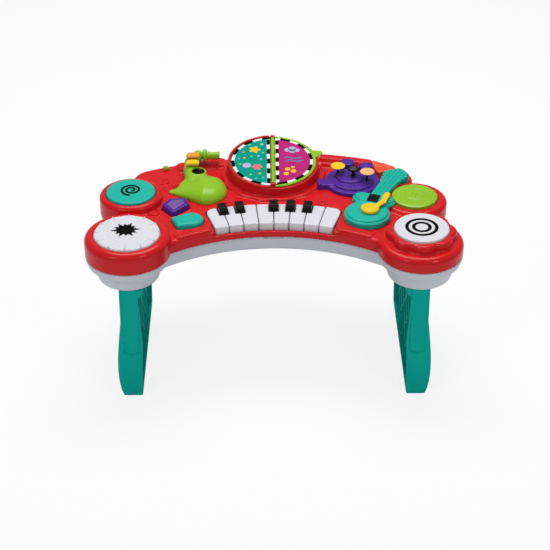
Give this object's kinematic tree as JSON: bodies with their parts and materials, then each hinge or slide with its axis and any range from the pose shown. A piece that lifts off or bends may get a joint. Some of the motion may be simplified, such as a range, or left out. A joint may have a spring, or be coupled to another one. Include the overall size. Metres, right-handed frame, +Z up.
{
  "type": "musical activity table",
  "caption": "Crescent-shaped musical play table with a curved keyboard, press drums, light buttons, toy instruments and a flip book, standing on two plug-in legs.",
  "frame": {"origin": "centre of the floor rectangle under the table", "axes": "+X to the right seen from the child, +Y away from the child, +Z up"},
  "size_m": [0.545, 0.33, 0.275],
  "materials": {
    "red_shell": "glossy red moulded plastic",
    "pale_base": "satin pale grey moulded plastic",
    "leg_teal": "satin teal moulded plastic",
    "pad_teal": "glossy light teal moulded plastic",
    "white_plastic": "glossy white moulded plastic",
    "black_plastic": "glossy black moulded plastic",
    "lime_plastic": "glossy lime moulded plastic",
    "purple_plastic": "glossy purple moulded plastic",
    "lilac_plastic": "translucent lilac moulded plastic",
    "yellow_plastic": "glossy yellow moulded plastic",
    "orange_plastic": "glossy orange moulded plastic",
    "peach_plastic": "glossy peach moulded plastic",
    "lens_orange": "translucent orange moulded plastic",
    "book_print": "printed film label",
    "steel": "plated steel",
    "board": "green circuit board laminate",
    "rubber": "black conductive rubber",
    "cell": "wrapped battery cells",
    "speaker_black": "black loudspeaker frame and cone"
  },
  "bodies": {
    "housing": {"top_shell": "red_shell", "bottom_shell": "pale_base", "key_frame": "pale_base", "key_contact_mat": "rubber", "key_board": "board", "pad_stop_washers": "rubber", "button_board": "board", "horn_body": "lime_plastic", "horn_bell_liner": "black_plastic", "horn_mouthpiece": "lime_plastic", "drum_kit_base": "purple_plastic", "kit_stands": "black_plastic", "guitar_body": "pad_teal", "guitar_string_block": "black_plastic", "book_left_page": "pad_teal", "book_hinge_pin": "steel", "light_lens": "lens_orange", "main_circuit_board": "board", "speaker": "speaker_black", "battery_cells": "cell", "battery_contacts": "steel", "battery_door": "pale_base", "shell_screws": "steel"},
    "left_leg": {"left_leg": "leg_teal"},
    "right_leg": {"right_leg": "leg_teal"},
    "star_pad": {"star_drum_pad": "white_plastic"},
    "spiral_pad": {"spiral_drum_pad": "pad_teal"},
    "ring_pad": {"ring_drum_pad": "white_plastic"},
    "cymbal_pad_body": {"cymbal_pad": "lime_plastic"},
    "purple_light_button": {"purple_button": "purple_plastic", "purple_button_lens": "lilac_plastic"},
    "teal_light_button": {"teal_button": "pad_teal"},
    "horn_yellow": {"horn_yellow_key": "yellow_plastic"},
    "horn_orange": {"horn_orange_key": "orange_plastic"},
    "slider": {"volume_slider": "lime_plastic"},
    "yellow_cymbal": {"kit_yellow_cymbal": "yellow_plastic"},
    "snare": {"kit_snare": "black_plastic"},
    "peach_cymbal": {"kit_peach_cymbal": "peach_plastic"},
    "strummer": {"guitar_strummer": "yellow_plastic"},
    "page": {"flip_page": "lime_plastic", "flip_page_print": "book_print"},
    "white_1": {"white_key_1": "white_plastic"},
    "white_2": {"white_key_2": "white_plastic"},
    "white_3": {"white_key_3": "white_plastic"},
    "white_4": {"white_key_4": "white_plastic"},
    "white_5": {"white_key_5": "white_plastic"},
    "white_6": {"white_key_6": "white_plastic"},
    "white_7": {"white_key_7": "white_plastic"},
    "white_8": {"white_key_8": "white_plastic"},
    "black_1": {"black_key_1": "black_plastic"},
    "black_2": {"black_key_2": "black_plastic"},
    "black_3": {"black_key_3": "black_plastic"},
    "black_4": {"black_key_4": "black_plastic"},
    "black_5": {"black_key_5": "black_plastic"}
  },
  "joints": [
    {"name": "left_leg_plug", "type": "slide", "parent": "housing", "child": "left_leg", "axis": [0, 0, -1], "range_m": [0, 0.022]},
    {"name": "right_leg_plug", "type": "slide", "parent": "housing", "child": "right_leg", "axis": [0, 0, -1], "range_m": [0, 0.022]},
    {"name": "white_key_1_press", "type": "hinge", "parent": "housing", "child": "white_1", "pos_m": [-0.09283, -0.00584, 0.229], "axis": [0.9625, 0.2714, 0], "range_deg": [0, 2.45], "stiffness_Nm_per_rad": 0.5, "springref_deg": -5.73},
    {"name": "white_key_2_press", "type": "hinge", "parent": "housing", "child": "white_2", "pos_m": [-0.06672, 0.00043, 0.229], "axis": [0.9808, 0.1951, 0], "range_deg": [0, 2.45], "stiffness_Nm_per_rad": 0.5, "springref_deg": -5.73},
    {"name": "white_key_3_press", "type": "hinge", "parent": "housing", "child": "white_3", "pos_m": [-0.0402, 0.00463, 0.229], "axis": [0.9931, 0.1175, 0], "range_deg": [0, 2.45], "stiffness_Nm_per_rad": 0.5, "springref_deg": -5.73},
    {"name": "white_key_4_press", "type": "hinge", "parent": "housing", "child": "white_4", "pos_m": [-0.01343, 0.00674, 0.229], "axis": [0.9992, 0.0393, 0], "range_deg": [0, 2.45], "stiffness_Nm_per_rad": 0.5, "springref_deg": -5.73},
    {"name": "white_key_5_press", "type": "hinge", "parent": "housing", "child": "white_5", "pos_m": [0.01343, 0.00674, 0.229], "axis": [0.9992, -0.0393, 0], "range_deg": [0, 2.45], "stiffness_Nm_per_rad": 0.5, "springref_deg": -5.73},
    {"name": "white_key_6_press", "type": "hinge", "parent": "housing", "child": "white_6", "pos_m": [0.0402, 0.00463, 0.229], "axis": [0.9931, -0.1175, 0], "range_deg": [0, 2.45], "stiffness_Nm_per_rad": 0.5, "springref_deg": -5.73},
    {"name": "white_key_7_press", "type": "hinge", "parent": "housing", "child": "white_7", "pos_m": [0.06672, 0.00043, 0.229], "axis": [0.9808, -0.1951, 0], "range_deg": [0, 2.45], "stiffness_Nm_per_rad": 0.5, "springref_deg": -5.73},
    {"name": "white_key_8_press", "type": "hinge", "parent": "housing", "child": "white_8", "pos_m": [0.09283, -0.00584, 0.229], "axis": [0.9625, -0.2714, 0], "range_deg": [0, 2.45], "stiffness_Nm_per_rad": 0.5, "springref_deg": -5.73},
    {"name": "black_key_1_press", "type": "hinge", "parent": "housing", "child": "black_1", "pos_m": [-0.08217, 0.00727, 0.229], "axis": [0.9724, 0.2334, 0], "range_deg": [0, 3.5], "stiffness_Nm_per_rad": 0.5, "springref_deg": -5.73},
    {"name": "black_key_2_press", "type": "hinge", "parent": "housing", "child": "black_2", "pos_m": [-0.05507, 0.01267, 0.229], "axis": [0.9877, 0.1564, 0], "range_deg": [0, 3.5], "stiffness_Nm_per_rad": 0.5, "springref_deg": -5.73},
    {"name": "black_key_3_press", "type": "hinge", "parent": "housing", "child": "black_3", "pos_m": [0, 0.017, 0.229], "axis": [1, 0, 0], "range_deg": [0, 3.5], "stiffness_Nm_per_rad": 0.5, "springref_deg": -5.73},
    {"name": "black_key_4_press", "type": "hinge", "parent": "housing", "child": "black_4", "pos_m": [0.02762, 0.01591, 0.229], "axis": [0.9969, -0.0785, 0], "range_deg": [0, 3.5], "stiffness_Nm_per_rad": 0.5, "springref_deg": -5.73},
    {"name": "black_key_5_press", "type": "hinge", "parent": "housing", "child": "black_5", "pos_m": [0.05507, 0.01267, 0.229], "axis": [0.9877, -0.1564, 0], "range_deg": [0, 3.5], "stiffness_Nm_per_rad": 0.5, "springref_deg": -5.73},
    {"name": "star_pad_press", "type": "slide", "parent": "housing", "child": "star_pad", "axis": [0, 0, -1], "range_m": [0, 0.0025], "stiffness_N_per_m": 1500, "springref_m": -0.002},
    {"name": "spiral_pad_press", "type": "slide", "parent": "housing", "child": "spiral_pad", "axis": [0, 0, -1], "range_m": [0, 0.0025], "stiffness_N_per_m": 1500, "springref_m": -0.002},
    {"name": "ring_pad_press", "type": "slide", "parent": "housing", "child": "ring_pad", "axis": [0, 0, -1], "range_m": [0, 0.0025], "stiffness_N_per_m": 1500, "springref_m": -0.002},
    {"name": "cymbal_pad_press", "type": "slide", "parent": "housing", "child": "cymbal_pad_body", "axis": [0, 0, -1], "range_m": [0, 0.0025], "stiffness_N_per_m": 1500, "springref_m": -0.002},
    {"name": "purple_button_press", "type": "slide", "parent": "housing", "child": "purple_light_button", "axis": [0, 0, -1], "range_m": [0, 0.002], "stiffness_N_per_m": 800, "springref_m": -0.002},
    {"name": "teal_button_press", "type": "slide", "parent": "housing", "child": "teal_light_button", "axis": [0, 0, -1], "range_m": [0, 0.002], "stiffness_N_per_m": 800, "springref_m": -0.002},
    {"name": "horn_yellow_press", "type": "slide", "parent": "housing", "child": "horn_yellow", "axis": [0, 0, -1], "range_m": [0, 0.0015], "stiffness_N_per_m": 800, "springref_m": -0.002},
    {"name": "horn_orange_press", "type": "slide", "parent": "housing", "child": "horn_orange", "axis": [0, 0, -1], "range_m": [0, 0.0015], "stiffness_N_per_m": 800, "springref_m": -0.002},
    {"name": "snare_press", "type": "slide", "parent": "housing", "child": "snare", "axis": [0, 0, -1], "range_m": [0, 0.0015], "stiffness_N_per_m": 800, "springref_m": -0.002},
    {"name": "volume_slide", "type": "slide", "parent": "housing", "child": "slider", "axis": [0.9354, 0.3535, 0], "range_m": [0, 0.012]},
    {"name": "yellow_cymbal_spin", "type": "hinge", "parent": "housing", "child": "yellow_cymbal", "pos_m": [0.099, 0.071, 0.262], "axis": [0, 0, 1], "continuous": true},
    {"name": "peach_cymbal_spin", "type": "hinge", "parent": "housing", "child": "peach_cymbal", "pos_m": [0.1425, 0.053, 0.262], "axis": [0, 0, 1], "continuous": true},
    {"name": "strum", "type": "hinge", "parent": "housing", "child": "strummer", "pos_m": [0.141, -0.041, 0.255], "axis": [0, 0, 1], "range_deg": [0, 40], "stiffness_Nm_per_rad": 0.02, "springref_deg": -5.73},
    {"name": "page_turn", "type": "hinge", "parent": "housing", "child": "page", "pos_m": [0, 0.0839, 0.26485], "axis": [0, -0.9949, -0.1011], "range_deg": [0, 180]}
  ]
}
